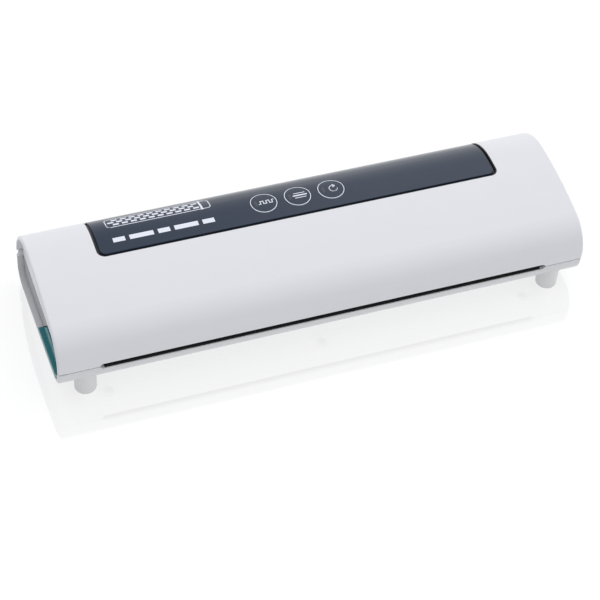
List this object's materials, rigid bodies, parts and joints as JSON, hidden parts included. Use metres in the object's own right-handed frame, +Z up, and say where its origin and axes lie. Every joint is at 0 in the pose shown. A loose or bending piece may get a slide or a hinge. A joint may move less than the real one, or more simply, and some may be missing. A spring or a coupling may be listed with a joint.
{
  "type": "vacuum sealer",
  "caption": "Bar-shaped counter-top vacuum sealer: curved white lid with glossy key strip hinged on a low base with bag slot, seal bar, vacuum trough, end release buttons and front feet.",
  "frame": {"origin": "middle of the footprint, on the table", "axes": "+X along the machine to the right-hand end seen from the front, +Y from front to rear, +Z up"},
  "size_m": [0.36, 0.113, 0.06],
  "materials": {
    "white_plastic": "satin white",
    "grey_plastic": "matt mid grey",
    "grey_feet": "matt pale grey",
    "dark_rubber": "matt black",
    "black_plastic": "matt black",
    "bar_resin": "fine matt",
    "nichrome": "plain",
    "tape": "woven, slightly glossy",
    "foam_rubber": "closed-cell foam",
    "silicone": "translucent pale",
    "board_green": "solder mask",
    "board_black": "moulded",
    "steel": "plain",
    "copper": "enamelled winding",
    "black_gloss": "glossy black",
    "slate_gloss": "high gloss",
    "white_mark": "printed white",
    "dark_lens": "tinted window",
    "led_white": "clear",
    "nylon": "natural",
    "teal_plastic": "satin teal"
  },
  "bodies": {
    "base": {"base_shell": "white_plastic", "left_end_cap": "grey_plastic", "right_end_cap": "grey_plastic", "front_feet": "grey_feet", "rear_pads": "dark_rubber", "base_deck": "black_plastic", "seal_bar": "bar_resin", "heating_band": "nichrome", "ptfe_tape": "tape", "vacuum_trough": "black_plastic", "chamber_nozzle": "black_plastic", "lower_gasket": "foam_rubber", "machine_cover": "black_plastic", "power_board": "board_green", "transformer_core": "steel", "transformer_coil": "copper", "board_parts": "board_black", "pump_motor": "steel", "pump_head": "grey_plastic", "pump_bracket": "steel", "release_valve": "board_black", "air_hose": "silicone", "cord_gland": "dark_rubber", "lid_switch": "board_black", "latch_springs": "steel", "hinge_pins": "steel", "base_screws": "steel"},
    "lid": {"lid_shell": "white_plastic", "panel_frame": "black_gloss", "control_panel": "slate_gloss", "lid_liner": "black_plastic", "seal_pad": "silicone", "upper_gasket": "foam_rubber", "latch_hooks": "black_plastic", "control_board": "board_green", "tact_switches": "board_black", "status_leds": "led_white", "lid_screws": "steel"},
    "pulse_key": {"pulse_key": "slate_gloss", "pulse_ring": "white_mark", "pulse_lens": "dark_lens"},
    "seal_key": {"seal_key": "slate_gloss", "seal_ring": "white_mark", "seal_lens": "dark_lens"},
    "auto_key": {"auto_key": "slate_gloss", "auto_ring": "white_mark", "auto_lens": "dark_lens"},
    "left_release": {"left_button": "teal_plastic", "left_slide": "nylon"},
    "right_release": {"right_button": "teal_plastic", "right_slide": "nylon"},
    "pump_rotor": {"motor_shaft": "steel", "pump_eccentric": "nylon"}
  },
  "joints": [
    {"name": "lid_hinge", "type": "hinge", "parent": "base", "child": "lid", "pos_m": [0, 0.054, 0.0258], "axis": [-1, 0, 0], "range_deg": [0, 60]},
    {"name": "pulse_press", "type": "slide", "parent": "lid", "child": "pulse_key", "axis": [0, 0, -1], "range_m": [0, 0.0008], "stiffness_N_per_m": 400},
    {"name": "seal_press", "type": "slide", "parent": "lid", "child": "seal_key", "axis": [0, 0, -1], "range_m": [0, 0.0008], "stiffness_N_per_m": 400},
    {"name": "auto_press", "type": "slide", "parent": "lid", "child": "auto_key", "axis": [0, 0, -1], "range_m": [0, 0.0008], "stiffness_N_per_m": 400},
    {"name": "left_release", "type": "slide", "parent": "base", "child": "left_release", "axis": [1, 0, 0], "range_m": [0, 0.0025], "stiffness_N_per_m": 600, "deforming": ["latch_springs"]},
    {"name": "right_release", "type": "slide", "parent": "base", "child": "right_release", "axis": [-1, 0, 0], "range_m": [0, 0.0025], "stiffness_N_per_m": 600, "deforming": ["latch_springs"]},
    {"name": "pump_spin", "type": "hinge", "parent": "base", "child": "pump_rotor", "pos_m": [0.05, 0.02317, 0.027], "axis": [1, 0, 0], "continuous": true}
  ]
}
